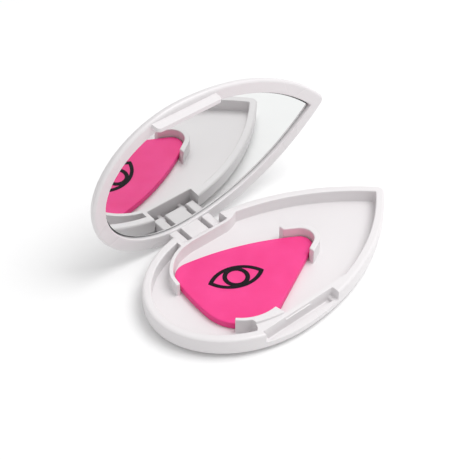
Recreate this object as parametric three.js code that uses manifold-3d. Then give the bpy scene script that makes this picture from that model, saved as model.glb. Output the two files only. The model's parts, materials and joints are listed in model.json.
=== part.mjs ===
// Leaf-shaped mirror compact: a tray with a three-post cradle for a soft pad, and a hinged mirror lid.
// Millimetres. +X runs along the case to its pointed end, +Y to the hinge, +Z up from the underside.
import * as THREE from 'three';
import { mergeVertices } from 'three/addons/utils/BufferGeometryUtils.js';
import Module from 'manifold-3d';

// ---------------------------------------------------------------- driving dimensions
const LENGTH = 88;
const HALF_WIDTH = 25.2;
const WIDEST_X = -12;          // where the leaf is widest
const TIP_OVERRUN = 0.85;      // the flanks would meet this far past the rounded tip
const TIP_RADIUS = 2.4;
const LEAST_TIP = 0.6;         // sharpest tip of an outline moved inwards

const BASE_HEIGHT = 6.5;
const FLOOR_TOP = 2.25;
const RIM_WIDTH = 2.65;
const BASE_EDGE = { inset: 4, rise: 2.2 };   // rounding between the underside and the side
const SEAM = 0.25;                           // gap between the two rims when shut
const RIM_ROUND = 0.8;                       // rounding on a rim's outer edge
const LIP_ROUND = 0.4;                       // rounding on a rim's inner edge

const LID_DEPTH = 5.8;
const LID_EDGE = { inset: 14, rise: 5 };   // shallow dome of the lid
const BEZEL_WIDTH = 4.4;
const MIRROR_RECESS = 1.1;
const GLASS_THICKNESS = 1.1;
const BACKING_THICKNESS = 0.1;
const ADHESIVE_THICKNESS = 0.25;
const LAYER_GAP = 0.05;
const MIRROR_CLEARANCE = 0.25;

const HINGE = { x: -9.8, y: 23.3, z: 1.85 };
const OPEN_ANGLE = THREE.MathUtils.degToRad(87);
const PIN_RADIUS = 0.5;
const PIN_FIT = { tray: 0.08, lid: 0.12 };     // play round the pin
const NOTCH_HALF = 8.5;        // half-length of the hinge notch in the tray's back wall
const NOTCH_BACK_Y = 20.5;
const NOTCH_FLOOR = 0.6;
const CHEEK = 1.2;             // wall at each end of the notch that holds the pin
const FINGER_OUTER = 7.65;     // half-length over all three fingers
const FINGER_SLOT = { centre: 4.05, width: 1.5 };
const FINGER_FACE = 2.15;      // pin axis to the fingers' inner face
const KNUCKLE_RADIUS = 1;
const LUG_THICKNESS = 1.1;

const LATCH_X = -12;
const THUMB_HALF = 13.1;       // half-length of the thumb notch
const LATCH_WALL = { inner: -20.1, outer: -21.3, left: -27, right: 10 };
const THUMB_LEDGE = 3.5;
const CHANNEL_OUTER = -23.15;  // far side of the channel that takes the lid's tongue
const TONGUE_HALF = 11.3;
const TONGUE = { inner: -21.65, outer: -22.95, drop: 3, corner: 1.2 };
const BEAD = { radius: 0.25, half: 5, rise: 0.6 };          // snap bead along the tongue
const CATCH_RIB = { radius: 0.25, half: 4.6, z: 5.3 };      // rib that the bead snaps under

const PAD_TOP = 4.5;
const PAD_CORNERS = [
  { x: -23.2, y: 9.6, r: 5.6 },    // beside the hinge
  { x: -18.4, y: -4.8, r: 12 },    // beside the latch
  { x: 8.5, y: -0.7, r: 3.7 },     // towards the tip
];
const PAD_BULGES = [0.1, 0, 0.21]; // turn of each edge either side of its chord, radians
const CRADLE_CLEARANCE = 0.35;
const CLIP_TOP = 7.3;
const CLIP_WALL = 1.1;
const TIP_CLIP = { left: 7.1, wall: 1.8 };
const HOOK = { from: 222, corner: 237, to: 279 };   // degrees round the pad's latch-side corner
const HOOK_BLOCK_DEPTH = 7;
const SCOOP = { x: -27.3, y: -17.7, r: 2.7 };       // hollow that leaves the hook free at its end
const HINGE_CLIP_PATH = [[-30, 7.6], [-29, 11.6], [-26.5, 14.9], [-23.3, 17.3], [-20, 18.7], [-16, 19.3]];
const BADGE = { x: -14.9, y: 1, length: 17, height: 9, line: 1.1, turn: -0.35, thickness: 0.1 };

const OUTLINE_STEPS = { tip: 6, flank: 22, end: 36 };
const FLANK_SIDES = 160;
const EDGE_STEPS = 6;
const ROUND_STEPS = 4;
const SKIN = 0.2;              // overlap between solids that are joined

// ---------------------------------------------------------------- solids
const wasm = await Module();
wasm.setup();

function solid(geometry) {
  const bare = geometry.index ? geometry.toNonIndexed() : geometry.clone();
  bare.deleteAttribute('normal');
  bare.deleteAttribute('uv');
  const merged = mergeVertices(bare, 1e-4);
  return new wasm.Manifold(new wasm.Mesh({
    numProp: 3,
    vertProperties: merged.attributes.position.array,
    triVerts: new Uint32Array(merged.index.array),
  }));
}

function geometryOf(manifold) {
  const mesh = manifold.getMesh();
  const geometry = new THREE.BufferGeometry();
  geometry.setAttribute('position', new THREE.BufferAttribute(mesh.vertProperties, 3));
  geometry.setIndex(new THREE.BufferAttribute(mesh.triVerts, 1));
  geometry.computeVertexNormals();
  return geometry;
}

function prism(points, low, high) {
  const geometry = new THREE.ExtrudeGeometry(new THREE.Shape(points), {
    depth: high - low, bevelEnabled: false,
  });
  return solid(geometry.translate(0, 0, low));
}

function box(x0, x1, y0, y1, z0, z1) {
  const geometry = new THREE.BoxGeometry(x1 - x0, y1 - y0, z1 - z0);
  return solid(geometry.translate((x0 + x1) / 2, (y0 + y1) / 2, (z0 + z1) / 2));
}

function rodAlongX(radius, x0, x1, y, z, sides = 20) {
  const geometry = new THREE.CylinderGeometry(radius, radius, x1 - x0, sides);
  return solid(geometry.rotateZ(Math.PI / 2).translate((x0 + x1) / 2, y, z));
}

// An outline in the YZ plane, given about the hinge axis, swept from x0 to x1.
function plateAcrossX(outline, x0, x1) {
  const geometry = new THREE.ExtrudeGeometry(outline, {
    depth: x1 - x0, bevelEnabled: false, curveSegments: 8,
  });
  geometry.rotateY(Math.PI / 2).rotateX(Math.PI / 2);
  return solid(geometry.translate(x0, HINGE.y, HINGE.z));
}

// ---------------------------------------------------------------- outlines
function xy(x, y) {
  return new THREE.Vector2(x, y);
}

function arc(cx, cy, rx, ry, from, to, steps) {
  const point = (i) => {
    const a = from + (to - from) * (i / steps);
    return xy(cx + rx * Math.cos(a), cy + ry * Math.sin(a));
  };
  return Array.from({ length: steps }, (_, i) => point(i));
}

// The leaf is two round flanks that meet at the tip, and a half-ellipse for the round end.
const CORNER_REACH = LENGTH / 2 + TIP_OVERRUN - WIDEST_X;
const FLANK_RADIUS = (CORNER_REACH ** 2 + HALF_WIDTH ** 2) / (2 * HALF_WIDTH);
const FLANK_SINK = FLANK_RADIUS - HALF_WIDTH;
const END_LENGTH = LENGTH / 2 + WIDEST_X;

function tipCircle(inset, r) {
  const x = WIDEST_X + Math.sqrt((FLANK_RADIUS - inset - r) ** 2 - FLANK_SINK ** 2);
  return { x, r, turn: Math.atan2(FLANK_SINK, x - WIDEST_X) };
}

// The case outline moved inwards.
function leaf(inset) {
  const tip = tipCircle(inset, Math.max(TIP_RADIUS - inset, LEAST_TIP));
  const radius = FLANK_RADIUS - inset;
  const steps = OUTLINE_STEPS;
  const up = Math.PI / 2;
  return [
    ...arc(tip.x, 0, tip.r, tip.r, -tip.turn, tip.turn, steps.tip),
    ...arc(WIDEST_X, -FLANK_SINK, radius, radius, tip.turn, up, steps.flank),
    ...arc(WIDEST_X, 0, END_LENGTH - inset, HALF_WIDTH - inset, up, 3 * up, steps.end),
    ...arc(WIDEST_X, FLANK_SINK, radius, radius, -up, -tip.turn, steps.flank),
  ];
}

function turned(profile, sides) {
  return solid(new THREE.LatheGeometry(profile, sides).rotateX(Math.PI / 2));
}

// A disc whose flat side at z = 0 has a small rounding, and whose other side rounds off in an ellipse.
function edgedDisc(radius, sides, depth, edge) {
  const start = radius - RIM_ROUND;
  const profile = [xy(0, 0), ...arc(start, RIM_ROUND, RIM_ROUND, RIM_ROUND, -Math.PI / 2, 0, ROUND_STEPS)];
  for (let i = 0; i <= EDGE_STEPS; i++) {
    const a = (Math.PI / 2) * (i / EDGE_STEPS);
    profile.push(xy(radius - edge.inset * (1 - Math.cos(a)), depth - edge.rise * (1 - Math.sin(a))));
  }
  profile.push(xy(0, depth));
  return turned(profile, sides);
}

// A disc that flares out to z = 0, so that what it cuts is left with a rounded lip there.
function flaredDisc(radius, sides, depth) {
  const mouth = radius + LIP_ROUND;
  const flare = arc(mouth, LIP_ROUND, LIP_ROUND, LIP_ROUND, -Math.PI / 2, -Math.PI, ROUND_STEPS);
  const profile = [
    xy(0, -1), xy(mouth, -1), ...flare, xy(radius, LIP_ROUND), xy(radius, depth), xy(0, depth),
  ];
  return turned(profile, sides);
}

// A leaf-shaped block made from discs: two large ones cross for the flanks, a stretched one is the
// round end, and a small one rounds the tip.
function leafFrom(disc, tipDisc, inset, tipRadius) {
  const wide = HALF_WIDTH + 1;
  const low = -LENGTH;
  const flank = disc(FLANK_RADIUS - inset, FLANK_SIDES);
  const lens = flank.translate(WIDEST_X, -FLANK_SINK, 0)
    .intersect(flank.translate(WIDEST_X, FLANK_SINK, 0));
  const pointed = lens.intersect(box(WIDEST_X, LENGTH, -wide, wide, low, LENGTH));
  const end = disc(HALF_WIDTH - inset, 2 * OUTLINE_STEPS.end)
    .scale([(END_LENGTH - inset) / (HALF_WIDTH - inset), 1, 1]).translate(WIDEST_X, 0, 0)
    .intersect(box(-LENGTH, WIDEST_X + SKIN, -wide, wide, low, LENGTH));
  const tip = tipCircle(inset, tipRadius);
  const tangentX = tip.x + tip.r * Math.cos(tip.turn);
  const corner = box(tangentX, LENGTH, -wide, wide, low, LENGTH)
    .subtract(tipDisc(tip.r, 48).translate(tip.x, 0, 0));
  return pointed.add(end).subtract(corner);
}

// A leaf-shaped block with its rim plane at z = 0 and an elliptical edge on its other side.
function domedLeaf(edge, depth) {
  const disc = (radius, sides) => edgedDisc(radius, sides, depth, edge);
  const tipDisc = (radius, sides) => edgedDisc(radius, sides, 2 * depth, { inset: 0, rise: 0 });
  return leafFrom(disc, tipDisc, 0, TIP_RADIUS);
}

// The space inside a rim, from the rim's plane at z = 0.
function leafPocket(inset, depth) {
  const disc = (radius, sides) => flaredDisc(radius, sides, depth);
  return leafFrom(disc, disc, inset, Math.max(TIP_RADIUS - inset, LEAST_TIP));
}

// Rounded outline around circles taken counterclockwise, each edge bowed out by an angle at its ends.
function bowedHull(circles, bows, grow = 0) {
  const count = circles.length;
  const edges = circles.map((a, i) => {
    const b = circles[(i + 1) % count];
    const run = Math.hypot(b.x - a.x, b.y - a.y);
    const heading = Math.atan2(b.y - a.y, b.x - a.x);
    const normal = heading - Math.PI / 2 + Math.asin((a.r - b.r) / run);
    return { leave: normal - bows[i], arrive: normal + bows[i] };
  });
  const points = [];
  circles.forEach((circle, i) => {
    const arriving = edges[(i + count - 1) % count].arrive;
    let leaving = edges[i].leave;
    while (leaving < arriving) leaving += 2 * Math.PI;
    const r = circle.r + grow;
    points.push(...arc(circle.x, circle.y, r, r, arriving, leaving, 14));
    const next = circles[(i + 1) % count];
    const start = xy(circle.x + r * Math.cos(leaving), circle.y + r * Math.sin(leaving));
    const arrive = edges[i].arrive;
    const end = xy(
      next.x + (next.r + grow) * Math.cos(arrive), next.y + (next.r + grow) * Math.sin(arrive));
    const reach = start.distanceTo(end) / 2 / Math.cos(bows[i]);
    const crown = xy(
      start.x - reach * Math.sin(leaving), start.y + reach * Math.cos(leaving));
    const edge = new THREE.QuadraticBezierCurve(start, crown, end);
    points.push(...edge.getPoints(12).slice(0, -1));
  });
  return points;
}

function ringSector(centre, inner, outer, from, to, steps) {
  const a = THREE.MathUtils.degToRad(from);
  const b = THREE.MathUtils.degToRad(to);
  return [
    ...arc(centre.x, centre.y, outer, outer, a, b, steps),
    xy(centre.x + outer * Math.cos(b), centre.y + outer * Math.sin(b)),
    ...arc(centre.x, centre.y, inner, inner, b, a, steps),
    xy(centre.x + inner * Math.cos(a), centre.y + inner * Math.sin(a)),
  ];
}

// ---------------------------------------------------------------- tray
const LATCH_CORNER = PAD_CORNERS[1];

const PIN_REACH = NOTCH_HALF + CHEEK;
const TRAY_ROOM = prism(leaf(1), 0, BASE_HEIGHT);   // space walls may fill and still join the rim

// Wall in front of the hinge notch. At the round end it thins to a curved clip round the pad's back corner.
function hingeWall() {
  const left = HINGE.x - NOTCH_HALF - CHEEK;
  const right = HINGE.x + NOTCH_HALF;
  const bend = new THREE.SplineCurve(HINGE_CLIP_PATH.map(([x, y]) => xy(x, y)));
  const face = HINGE_CLIP_PATH.at(-1)[1];
  const merge = new THREE.CubicBezierCurve(
    xy(right - 2, face), xy(right + 1, face),
    xy(right + 3, face + 1.2), xy(right + 6, face + 3));
  const inner = bend.getPoints(24);
  const outer = inner.map((point, i) => {
    const along = bend.getTangent(i / 24);
    return xy(point.x - CLIP_WALL * along.y, point.y + CLIP_WALL * along.x);
  }).filter((point) => point.x < left).reverse();
  const far = HALF_WIDTH;
  const outline = [
    ...inner, ...merge.getPoints(10),
    xy(right + 6, far), xy(left, far), ...outer,
  ];
  return prism(outline, FLOOR_TOP - SKIN, BASE_HEIGHT).intersect(TRAY_ROOM);
}

// Stop for the pad's front corner: a hooked wall that runs into a solid block against the latch wall.
function latchSideClip() {
  const inner = LATCH_CORNER.r + CRADLE_CLEARANCE;
  const low = FLOOR_TOP - SKIN;
  const sector = (depth, from, steps) => prism(
    ringSector(LATCH_CORNER, inner, inner + depth, from, HOOK.to, steps), low, CLIP_TOP);
  const hook = sector(CLIP_WALL, HOOK.from, 20);
  const block = sector(HOOK_BLOCK_DEPTH, HOOK.corner, 14);
  const scoop = prism(arc(SCOOP.x, SCOOP.y, SCOOP.r, SCOOP.r, 0, 2 * Math.PI, 28), 0, CLIP_TOP + 1);
  const underBezel = prism(leaf(RIM_WIDTH - SKIN), 0, BASE_HEIGHT);
  const insideBezel = prism(leaf(BEZEL_WIDTH + 0.4), 0, CLIP_TOP);
  const room = underBezel.add(insideBezel)
    .intersect(box(-LENGTH, LENGTH, LATCH_WALL.inner - SKIN, 0, 0, CLIP_TOP));
  return block.subtract(scoop).add(hook).intersect(room);
}

// Curved post that follows the pad's edge round its pointed corner.
function tipSideClip() {
  const outline = (grow) => prism(bowedHull(PAD_CORNERS, PAD_BULGES, grow), FLOOR_TOP - SKIN, CLIP_TOP);
  const ring = outline(CRADLE_CLEARANCE + TIP_CLIP.wall).subtract(outline(CRADLE_CLEARANCE));
  return ring.intersect(box(TIP_CLIP.left, LENGTH, -HALF_WIDTH, HALF_WIDTH, 0, CLIP_TOP));
}

function latchWall() {
  const { left, right, outer, inner } = LATCH_WALL;
  return box(left, right, outer - 1, inner, FLOOR_TOP - SKIN, BASE_HEIGHT).intersect(TRAY_ROOM);
}

function hingeLug(x) {
  const reach = HINGE.y - NOTCH_BACK_Y + SKIN;
  const foot = HINGE.z - NOTCH_FLOOR + SKIN;
  const outline = new THREE.Shape();
  outline.moveTo(KNUCKLE_RADIUS, -foot);
  outline.lineTo(KNUCKLE_RADIUS, 0);
  outline.absarc(0, 0, KNUCKLE_RADIUS, 0, Math.PI * 0.6, false);
  outline.lineTo(-reach, 0.4);
  outline.lineTo(-reach, -foot);
  return plateAcrossX(outline, x - LUG_THICKNESS / 2, x + LUG_THICKNESS / 2);
}

function buildTray() {
  const above = BASE_HEIGHT + 4;
  const far = HALF_WIDTH + 5;
  let tray = domedLeaf(BASE_EDGE, BASE_HEIGHT).subtract(leafPocket(RIM_WIDTH, BASE_HEIGHT - FLOOR_TOP));
  tray = tray.mirror([0, 0, 1]).translate(0, 0, BASE_HEIGHT);
  for (const piece of [hingeWall(), latchWall(), latchSideClip(), tipSideClip()]) {
    tray = tray.add(piece);
  }
  const notch = box(HINGE.x - NOTCH_HALF, HINGE.x + NOTCH_HALF, NOTCH_BACK_Y, far, NOTCH_FLOOR, above);
  const thumb = box(LATCH_X - THUMB_HALF, LATCH_X + THUMB_HALF, -far, LATCH_WALL.outer, THUMB_LEDGE, above);
  const reach = TONGUE_HALF + 0.4;
  const channel = box(LATCH_X - reach, LATCH_X + reach, CHANNEL_OUTER, LATCH_WALL.outer, FLOOR_TOP, above);
  tray = tray.subtract(notch).subtract(thumb).subtract(channel);
  for (const side of [-1, 1]) tray = tray.add(hingeLug(HINGE.x + side * FINGER_SLOT.centre));
  const catchRib = rodAlongX(
    CATCH_RIB.radius, LATCH_X - CATCH_RIB.half, LATCH_X + CATCH_RIB.half,
    LATCH_WALL.outer, CATCH_RIB.z, 12);
  const pinHole = rodAlongX(
    PIN_RADIUS + PIN_FIT.tray, HINGE.x - PIN_REACH, HINGE.x + PIN_REACH, HINGE.y, HINGE.z);
  return tray.add(catchRib).subtract(pinHole);
}

function buildPin() {
  return rodAlongX(PIN_RADIUS, HINGE.x - PIN_REACH + 0.1, HINGE.x + PIN_REACH - 0.1, HINGE.y, HINGE.z);
}

// ---------------------------------------------------------------- lid, drawn shut
const LID_PLANE = BASE_HEIGHT + SEAM;
const GLASS_FRONT = LID_PLANE + MIRROR_RECESS;
const BACKING_FRONT = GLASS_FRONT + GLASS_THICKNESS + LAYER_GAP;
const ADHESIVE_FRONT = BACKING_FRONT + BACKING_THICKNESS + LAYER_GAP;
const POCKET_TOP = ADHESIVE_FRONT + ADHESIVE_THICKNESS + LAYER_GAP;

function hingeFinger(x0, x1) {
  const rise = LID_PLANE - HINGE.z + SKIN;
  const heel = THREE.MathUtils.degToRad(240);
  const outline = new THREE.Shape();
  outline.moveTo(-FINGER_FACE, rise);
  outline.lineTo(-FINGER_FACE, -0.5);
  outline.absarc(0, 0, KNUCKLE_RADIUS, heel, 2 * Math.PI, false);
  outline.lineTo(KNUCKLE_RADIUS, rise);
  return plateAcrossX(outline, HINGE.x + x0, HINGE.x + x1);
}

function latchTongue() {
  const { corner } = TONGUE;
  const outline = new THREE.Shape();
  outline.moveTo(-TONGUE_HALF, SKIN);
  outline.lineTo(-TONGUE_HALF, corner - TONGUE.drop);
  outline.absarc(corner - TONGUE_HALF, corner - TONGUE.drop, corner, Math.PI, 1.5 * Math.PI, false);
  outline.absarc(TONGUE_HALF - corner, corner - TONGUE.drop, corner, -Math.PI / 2, 0, false);
  outline.lineTo(TONGUE_HALF, SKIN);
  const geometry = new THREE.ExtrudeGeometry(outline, {
    depth: TONGUE.inner - TONGUE.outer, bevelEnabled: false, curveSegments: 6,
  });
  geometry.rotateX(Math.PI / 2).translate(LATCH_X, TONGUE.inner, LID_PLANE);
  const bead = rodAlongX(
    BEAD.radius, LATCH_X - BEAD.half, LATCH_X + BEAD.half, TONGUE.inner,
    LID_PLANE - TONGUE.drop + BEAD.rise, 12);
  return solid(geometry).add(bead);
}

function buildLid() {
  const plate = domedLeaf(LID_EDGE, LID_DEPTH).subtract(leafPocket(BEZEL_WIDTH, POCKET_TOP - LID_PLANE));
  let lid = plate.translate(0, 0, LID_PLANE).add(latchTongue());
  const slotInner = FINGER_SLOT.centre - FINGER_SLOT.width / 2;
  const slotOuter = FINGER_SLOT.centre + FINGER_SLOT.width / 2;
  const spans = [[-FINGER_OUTER, -slotOuter], [-slotInner, slotInner], [slotOuter, FINGER_OUTER]];
  for (const [x0, x1] of spans) lid = lid.add(hingeFinger(x0, x1));
  const bore = rodAlongX(
    PIN_RADIUS + PIN_FIT.lid, HINGE.x - NOTCH_HALF, HINGE.x + NOTCH_HALF, HINGE.y, HINGE.z);
  return lid.subtract(bore);
}

function mirrorLayer(front, thickness) {
  return prism(leaf(BEZEL_WIDTH + MIRROR_CLEARANCE), front, front + thickness);
}

// ---------------------------------------------------------------- pad and its printed badge
function buildPad() {
  return prism(bowedHull(PAD_CORNERS, PAD_BULGES), FLOOR_TOP, PAD_TOP);
}

// Open-eye pictogram: two lid lines with tapered ends and a ring between them.
function buildBadge() {
  const half = BADGE.length / 2;
  const lens = (height, width) => {
    const radius = (width ** 2 + height ** 2) / (2 * height);
    const spread = Math.asin(width / radius);
    const up = Math.PI / 2;
    return [
      ...arc(0, height - radius, radius, radius, up - spread, up + spread, 20),
      ...arc(0, radius - height, radius, radius, -up - spread, -up + spread, 20),
    ];
  };
  const top = BADGE.thickness;
  const disc = (radius, low, high) => prism(arc(0, 0, radius, radius, 0, 2 * Math.PI, 28), low, high);
  const eye = prism(lens(BADGE.height / 2, half), 0, top)
    .subtract(prism(lens(BADGE.height / 2 - BADGE.line, half - 1.4 * BADGE.line), -1, top + 1));
  const irisRadius = BADGE.height / 2 - BADGE.line / 2;
  const iris = disc(irisRadius, 0, top).subtract(disc(irisRadius - 1.2 * BADGE.line, -1, top + 1));
  return eye.add(iris).rotate([0, 0, THREE.MathUtils.radToDeg(BADGE.turn)])
    .translate([BADGE.x, BADGE.y, PAD_TOP]);
}

// ---------------------------------------------------------------- assembly
const finishes = {
  whitePlastic: { color: 0xf4f2f3, roughness: 0.32, metalness: 0 },
  steel: { color: 0xb9bcc0, roughness: 0.3, metalness: 1 },
  glass: { color: 0xe6f2ee, roughness: 0.03, metalness: 0 },
  silver: { color: 0xe9ecec, roughness: 0.04, metalness: 1 },
  adhesive: { color: 0xd9d6cf, roughness: 0.8, metalness: 0 },
  silicone: { color: 0xfa4d96, roughness: 0.45, metalness: 0 },
  ink: { color: 0x121114, roughness: 0.4, metalness: 0 },
};

function piece(name, manifold, finish) {
  const mesh = new THREE.Mesh(geometryOf(manifold), new THREE.MeshStandardMaterial(finishes[finish]));
  mesh.name = name;
  return mesh;
}

function aboutHinge(mesh) {
  mesh.position.set(0, -HINGE.y, -HINGE.z);
  return mesh;
}

const lid = new THREE.Group();
lid.position.set(0, HINGE.y, HINGE.z);
lid.rotation.x = -OPEN_ANGLE;
lid.add(
  aboutHinge(piece('lid_shell', buildLid(), 'whitePlastic')),
  aboutHinge(piece('mirror_glass', mirrorLayer(GLASS_FRONT, GLASS_THICKNESS), 'glass')),
  aboutHinge(piece('mirror_backing', mirrorLayer(BACKING_FRONT, BACKING_THICKNESS), 'silver')),
  aboutHinge(piece('mirror_adhesive', mirrorLayer(ADHESIVE_FRONT, ADHESIVE_THICKNESS), 'adhesive')),
);

const compact = new THREE.Group();
compact.add(
  piece('tray_shell', buildTray(), 'whitePlastic'),
  piece('hinge_pin', buildPin(), 'steel'),
  piece('soft_pad', buildPad(), 'silicone'),
  piece('pad_badge', buildBadge(), 'ink'),
  lid,
);

export default compact;
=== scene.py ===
"""Looks for the leaf-shaped mirror compact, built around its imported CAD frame. Lengths are in metres."""

import json
import math

import bmesh
import bpy
from mathutils import Matrix, Vector

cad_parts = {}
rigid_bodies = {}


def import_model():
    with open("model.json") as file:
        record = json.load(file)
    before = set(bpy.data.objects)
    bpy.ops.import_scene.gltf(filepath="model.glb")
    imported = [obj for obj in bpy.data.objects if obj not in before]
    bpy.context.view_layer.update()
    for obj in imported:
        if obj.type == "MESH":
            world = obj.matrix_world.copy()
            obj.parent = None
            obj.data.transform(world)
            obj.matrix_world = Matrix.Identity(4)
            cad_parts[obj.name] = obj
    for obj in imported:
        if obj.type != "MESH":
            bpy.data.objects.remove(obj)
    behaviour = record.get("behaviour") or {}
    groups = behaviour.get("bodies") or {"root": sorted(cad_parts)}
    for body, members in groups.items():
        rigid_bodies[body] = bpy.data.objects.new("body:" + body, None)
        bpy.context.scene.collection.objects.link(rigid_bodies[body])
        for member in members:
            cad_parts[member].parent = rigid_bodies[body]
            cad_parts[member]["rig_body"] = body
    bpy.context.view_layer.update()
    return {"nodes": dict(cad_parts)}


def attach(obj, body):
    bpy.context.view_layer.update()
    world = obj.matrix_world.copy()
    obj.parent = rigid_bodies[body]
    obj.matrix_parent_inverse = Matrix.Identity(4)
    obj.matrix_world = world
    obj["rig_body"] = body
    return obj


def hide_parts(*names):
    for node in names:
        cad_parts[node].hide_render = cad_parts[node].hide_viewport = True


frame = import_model()

MM = 0.001

TRAY_ROUNDING = 0.4 * MM
LID_ROUNDING = 0.35 * MM
PAD_ROUNDING = 0.45 * MM
GLASS_ROUNDING = 0.35 * MM

FLOOR_HALF_SIZE = 3.0

LIGHT_PLACE = Vector((0.27, -0.20, 0.73))
LIGHT_AIM = Vector((0, 0, 0.02))
LIGHT_SIZE = 0.55
LIGHT_POWER = 3.5

CAMERA_AZIMUTH = math.radians(-41.03)
CAMERA_ELEVATION = math.radians(40.83)
CAMERA_ROLL = math.radians(-0.23)
CAMERA_TARGET = Vector((-21.17, -3.58, 28.69)) * MM
CAMERA_DISTANCE = 312.68 * MM
CAMERA_LENS = 92.04            # millimetres, as is the sensor's width
CAMERA_SENSOR = 36

ROOM_BRIGHT_SIDE = Vector((0.20, -0.10, 0.97))
ROOM_FADE = (-0.3, 0.9)        # cosines to the bright side between which the room's light changes
ROOM_LEVELS = (0.42, 0.78)     # its strength at each end of the fade


# ------------------------------------------------------------------ materials
NOISE_SPAN = (0.3, 0.7)        # where nearly all the values of a noise texture lie


class Nodes:
    """A new material's node tree, with short calls that add and join nodes."""

    def __init__(self, name):
        self.material = bpy.data.materials.new(name)
        self.material.use_nodes = True
        self.tree = self.material.node_tree
        self.shader = self.tree.nodes["Principled BSDF"]
        self.place = self.add("ShaderNodeTexCoord").outputs["Object"]

    def add(self, kind, **settings):
        """A new node. A setting gives the value of the socket, or else of the property, of its name."""
        node = self.tree.nodes.new(kind)
        for key, value in settings.items():
            if key in node.inputs:
                node.inputs[key].default_value = value
            else:
                setattr(node, key, value)
        return node

    def join(self, output, target):
        self.tree.links.new(output, target)

    def noise(self, size, detail):
        """Cloudy value around 0.5 whose blotches are about size metres across."""
        node = self.add("ShaderNodeTexNoise", Scale=1 / size, Detail=detail)
        self.join(self.place, node.inputs["Vector"])
        return node.outputs["Fac"]

    def clouds(self, size, detail, low=0, high=1):
        """The same noise, spread over low to high."""
        node = self.add("ShaderNodeMapRange")
        node.inputs["From Min"].default_value = NOISE_SPAN[0]
        node.inputs["From Max"].default_value = NOISE_SPAN[1]
        node.inputs["To Min"].default_value = low
        node.inputs["To Max"].default_value = high
        self.join(self.noise(size, detail), node.inputs["Value"])
        return node.outputs["Result"]

    def color(self, clouds, dark, light):
        """Base colour that runs from dark to light with the clouds."""
        mix = self.add("ShaderNodeMix", data_type="RGBA")
        ends = [socket for socket in mix.inputs if socket.type == "RGBA"]
        ends[0].default_value = (*dark, 1)
        ends[1].default_value = (*light, 1)
        self.join(clouds, mix.inputs["Factor"])
        mixed = next(socket for socket in mix.outputs if socket.type == "RGBA")
        self.join(mixed, self.shader.inputs["Base Color"])

    def roughness(self, clouds):
        self.join(clouds, self.shader.inputs["Roughness"])

    def bump(self, noise, height, strength):
        node = self.add("ShaderNodeBump", Distance=height, Strength=strength)
        self.join(noise, node.inputs["Height"])
        self.join(node.outputs["Normal"], self.shader.inputs["Normal"])


def moulded_plastic():
    """White plastic with a satin gloss and a faint, slow change of tone from its flow in the mould."""
    nodes = Nodes("moulded_white")
    nodes.color(nodes.clouds(0.03, 1), (0.772, 0.745, 0.756), (0.788, 0.764, 0.774))
    nodes.roughness(nodes.clouds(0.02, 1, 0.27, 0.33))
    nodes.shader.inputs["IOR"].default_value = 1.49
    return nodes.material


def silicone():
    """Pink silicone: duller than the plastic, a little uneven, and letting some light in."""
    nodes = Nodes("pink_silicone")
    nodes.color(nodes.clouds(0.009, 4), (0.84, 0.040, 0.240), (0.89, 0.060, 0.290))
    nodes.roughness(nodes.clouds(0.0022, 3, 0.42, 0.56))
    nodes.bump(nodes.noise(0.005, 2), 0.03 * MM, 0.25)
    nodes.shader.inputs["IOR"].default_value = 1.41
    nodes.shader.inputs["Subsurface Weight"].default_value = 0.15
    nodes.shader.inputs["Subsurface Radius"].default_value = (1.0, 0.25, 0.4)
    nodes.shader.inputs["Subsurface Scale"].default_value = 1.0 * MM
    return nodes.material


def printed_ink():
    nodes = Nodes("black_ink")
    nodes.color(nodes.clouds(0.0006, 3), (0.004, 0.003, 0.005), (0.012, 0.008, 0.012))
    nodes.roughness(nodes.clouds(0.001, 3, 0.5, 0.65))
    nodes.bump(nodes.noise(0.0003, 2), 0.004 * MM, 0.3)
    nodes.shader.inputs["Specular IOR Level"].default_value = 0.15
    return nodes.material


def drawn_wire():
    nodes = Nodes("pin_steel")
    nodes.color(nodes.clouds(0.0008, 4), (0.50, 0.51, 0.53), (0.64, 0.65, 0.66))
    nodes.roughness(nodes.clouds(0.0005, 3, 0.22, 0.38))
    nodes.shader.inputs["Metallic"].default_value = 1
    return nodes.material


def silvering():
    """Silver, as seen through the clear glass in front of it."""
    nodes = Nodes("mirror_silver")
    nodes.color(nodes.clouds(0.03, 2), (0.80, 0.812, 0.805), (0.815, 0.827, 0.82))
    nodes.shader.inputs["Metallic"].default_value = 1
    nodes.shader.inputs["Roughness"].default_value = 0.01
    return nodes.material


def painted_edge_shade():
    """Painted shade for the plate's ground rim: a near-black green standing in for the dark look of the
    glass thickness and what its edge reflects, over the glass's own faint green.
    """
    nodes = Nodes("glass_edge_painted_shade")
    # painted shade: near-black green for the dark look of the glass edge
    nodes.color(nodes.clouds(0.0008, 4), (0.004, 0.012, 0.011), (0.03, 0.06, 0.06))
    nodes.roughness(nodes.clouds(0.0005, 2, 0.25, 0.5))
    nodes.bump(nodes.noise(0.0003, 3), 0.02 * MM, 0.5)
    return nodes.material


def foam_tape():
    nodes = Nodes("foam_tape")
    nodes.color(nodes.clouds(0.0004, 4), (0.62, 0.60, 0.56), (0.74, 0.72, 0.68))
    nodes.shader.inputs["Roughness"].default_value = 0.85
    nodes.bump(nodes.noise(0.0004, 3), 0.02 * MM, 0.6)
    return nodes.material


def paper_floor():
    nodes = Nodes("floor_white")
    nodes.color(nodes.clouds(0.25, 2), (0.93, 0.93, 0.932), (0.94, 0.94, 0.94))
    nodes.shader.inputs["Roughness"].default_value = 0.7
    nodes.shader.inputs["Specular IOR Level"].default_value = 0.2
    return nodes.material


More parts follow.
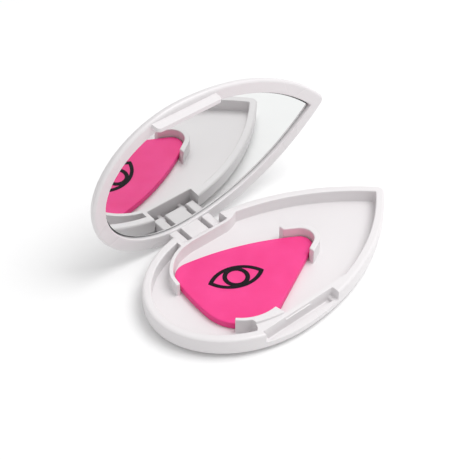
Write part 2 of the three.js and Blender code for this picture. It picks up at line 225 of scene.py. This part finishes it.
# ------------------------------------------------------------------ pieces with rounded edges
SHARP = math.radians(32)       # edges turned more than this are rounded
FLAT = math.radians(0.6)       # faces within this of each other are one face
WELD = 0.02 * MM               # corners nearer than this are one corner
ROOM_USED = 0.42               # share of the room beside an edge that its rounding may take
FACING = math.radians(60)      # edges of a face that turn less than this don't limit each other
LEAST_TURN = math.radians(5)   # half the turn between neighbouring edges counts as at least this
CARRIES_ON = -0.82             # cosine between two edges that follow one another smoothly
ROUNDING_STEPS = 4
BROAD = 80 * MM ** 2           # a face larger than this is shaded dead flat
BROAD_FACES_LEAD = 95          # how far larger faces set the shading of the corners they share


def distance(point, start, end):
    """From a point to the line between two others."""
    along = end - start
    part = (point - start).dot(along) / max(along.length_squared, WELD ** 2)
    return (start + along * min(max(part, 0), 1) - point).length


def room_beside(loop):
    """How far an edge can move into one of its faces before it meets the face's other edges."""
    start, end = loop.vert.co, loop.link_loop_next.vert.co
    along = end - start
    room = math.inf
    for other in loop.face.loops:
        if other is loop:
            continue
        near, far = other.vert.co, other.link_loop_next.vert.co
        turn = along.angle(far - near)
        if other is loop.link_loop_next or other is loop.link_loop_prev:
            room = min(room, (far - near).length / math.tan(max(turn / 2, LEAST_TURN)))
        elif turn > FACING:
            room = min(room, distance(near, start, end), distance(far, start, end),
                       distance(start, near, far), distance(end, near, far))
    return room


def heading(edge, vert):
    """The direction in which an edge leaves one of its ends."""
    return (edge.other_vert(vert).co - vert.co).normalized()


def smooth_runs(edges):
    """The edges in groups that carry on from one another without a corner."""
    group = {edge: edge for edge in edges}

    def head(edge):
        while group[edge] is not edge:
            edge = group[edge]
        return edge

    for edge in edges:
        for vert in edge.verts:
            for other in vert.link_edges:
                if other is edge or other not in group:
                    continue
                if heading(edge, vert).dot(heading(other, vert)) < CARRIES_ON:
                    group[head(other)] = head(edge)
    runs = {}
    for edge in edges:
        runs.setdefault(head(edge), []).append(edge)
    return runs.values()


def weigh_edges(mesh, radius):
    """Cleans a mesh and gives each sharp edge the share of radius that it has room for."""
    work = bmesh.new()
    work.from_mesh(mesh)
    bmesh.ops.remove_doubles(work, verts=work.verts, dist=WELD)
    bmesh.ops.dissolve_degenerate(work, edges=work.edges, dist=WELD)
    bmesh.ops.dissolve_limit(work, angle_limit=FLAT, verts=work.verts, edges=work.edges)
    weight = work.edges.layers.float.new("bevel_weight_edge")
    sharp = [edge for edge in work.edges
             if len(edge.link_faces) == 2 and edge.calc_face_angle() > SHARP]
    for run in smooth_runs(sharp):
        room = min(room_beside(loop) for edge in run for loop in edge.link_loops)
        for edge in run:
            edge[weight] = min(1, ROOM_USED * room / radius)
    work.to_mesh(mesh)
    work.free()


def round_edges(piece, radius, curved):
    bevel = piece.modifiers.new("round", "BEVEL")
    bevel.width = radius
    bevel.segments = ROUNDING_STEPS
    bevel.limit_method = "WEIGHT"
    bevel.use_clamp_overlap = False
    bevel.loop_slide = False
    bevel.miter_outer = "MITER_ARC"
    if curved:
        normals = piece.modifiers.new("weigh", "WEIGHTED_NORMAL")
        normals.keep_sharp = True
        normals.weight = BROAD_FACES_LEAD


def rounded(node, name, radius, material, curved=True):
    """A copy of a CAD node with its edges rounded by radius, or less where there is no room for it.

    A piece that isn't curved keeps each flat face flat in its shading."""
    source = frame["nodes"][node]
    mesh = source.data.copy()
    mesh.name = name
    weigh_edges(mesh, radius)
    if "custom_normal" in mesh.attributes:
        mesh.attributes.remove(mesh.attributes["custom_normal"])
    for face in mesh.polygons:
        face.use_smooth = curved and face.area < BROAD
    mesh.materials.clear()
    mesh.materials.append(material)
    piece = bpy.data.objects.new(name, mesh)
    bpy.context.scene.collection.objects.link(piece)
    round_edges(piece, radius, curved)
    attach(piece, source["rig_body"])
    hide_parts(node)
    return piece


def make_mirror(silver):
    """The glass plate, silver on its broad faces and painted dark on its rim, which is slot 1: painted
    shade for the look of the glass thickness at its edge.
    """
    plate = rounded("mirror_glass", "mirror_plate", GLASS_ROUNDING, silver, curved=False)
    plate.data.materials.append(painted_edge_shade())
    # the rounded rim takes slot 1, the painted shade of the glass edge
    plate.modifiers["round"].material = 1
    across = max(plate.data.polygons, key=lambda face: face.area).normal.copy()
    for face in plate.data.polygons:
        face.material_index = 0 if abs(face.normal.dot(across)) > math.cos(math.radians(45)) else 1


def make_pieces():
    """The four shaped pieces as rounded copies, and the other four nodes in new materials."""
    white = moulded_plastic()
    rounded("tray_shell", "tray_moulding", TRAY_ROUNDING, white)
    rounded("lid_shell", "lid_moulding", LID_ROUNDING, white)
    rounded("soft_pad", "pad_body", PAD_ROUNDING, silicone())
    silver = silvering()
    make_mirror(silver)
    carried_over = {
        "pad_badge": printed_ink(),
        "hinge_pin": drawn_wire(),
        "mirror_backing": silver,
        "mirror_adhesive": foam_tape(),
    }
    for name, material in carried_over.items():
        node = frame["nodes"][name]
        node.data.materials.clear()
        node.data.materials.append(material)


# ------------------------------------------------------------------ stage, light and camera
def make_stage():
    far = FLOOR_HALF_SIZE
    corners = [(-far, -far, 0), (far, -far, 0), (far, far, 0), (-far, far, 0)]
    mesh = bpy.data.meshes.new("floor")
    mesh.from_pydata(corners, [], [(0, 1, 2, 3)])
    floor = bpy.data.objects.new("floor", mesh)
    bpy.context.scene.collection.objects.link(floor)
    floor.data.materials.append(paper_floor())


def make_light():
    light = bpy.data.lights.new("key", "AREA")
    light.shape = "DISK"
    light.size = LIGHT_SIZE
    light.energy = LIGHT_POWER
    lamp = bpy.data.objects.new("key", light)
    lamp.location = LIGHT_PLACE
    lamp.rotation_euler = (LIGHT_AIM - LIGHT_PLACE).to_track_quat("-Z", "Y").to_euler()
    bpy.context.scene.collection.objects.link(lamp)


def make_room():
    """An even white room, brighter overhead than along the floor and below it."""
    world = bpy.data.worlds.new("studio")
    world.use_nodes = True
    bpy.context.scene.world = world
    tree = world.node_tree
    background = tree.nodes["Background"]
    direction = tree.nodes.new("ShaderNodeTexCoord")
    along = tree.nodes.new("ShaderNodeVectorMath")
    along.operation = "DOT_PRODUCT"
    along.inputs[1].default_value = ROOM_BRIGHT_SIDE.normalized()
    level = tree.nodes.new("ShaderNodeMapRange")
    level.interpolation_type = "SMOOTHSTEP"
    level.inputs["From Min"].default_value = ROOM_FADE[0]
    level.inputs["From Max"].default_value = ROOM_FADE[1]
    level.inputs["To Min"].default_value = ROOM_LEVELS[0]
    level.inputs["To Max"].default_value = ROOM_LEVELS[1]
    tree.links.new(direction.outputs["Generated"], along.inputs[0])
    tree.links.new(along.outputs["Value"], level.inputs["Value"])
    tree.links.new(level.outputs["Result"], background.inputs["Strength"])
    background.inputs["Color"].default_value = (1, 1, 1, 1)


def make_camera():
    level = math.cos(CAMERA_ELEVATION)
    forward = Vector((-math.sin(CAMERA_AZIMUTH) * level, math.cos(CAMERA_AZIMUTH) * level,
                      -math.sin(CAMERA_ELEVATION)))
    camera = bpy.data.cameras.new("photo_camera")
    camera.sensor_width = CAMERA_SENSOR
    camera.lens = CAMERA_LENS
    camera.clip_start = 10 * MM
    holder = bpy.data.objects.new("photo_camera", camera)
    turn = forward.to_track_quat("-Z", "Y").to_matrix() @ Matrix.Rotation(CAMERA_ROLL, 3, "Z")
    place = Matrix.Translation(CAMERA_TARGET - forward * CAMERA_DISTANCE)
    holder.matrix_world = place @ turn.to_4x4()
    bpy.context.scene.collection.objects.link(holder)
    bpy.context.scene.camera = holder


make_pieces()
make_stage()
make_light()
make_room()
make_camera()
bpy.context.scene.view_settings.view_transform = "Standard"
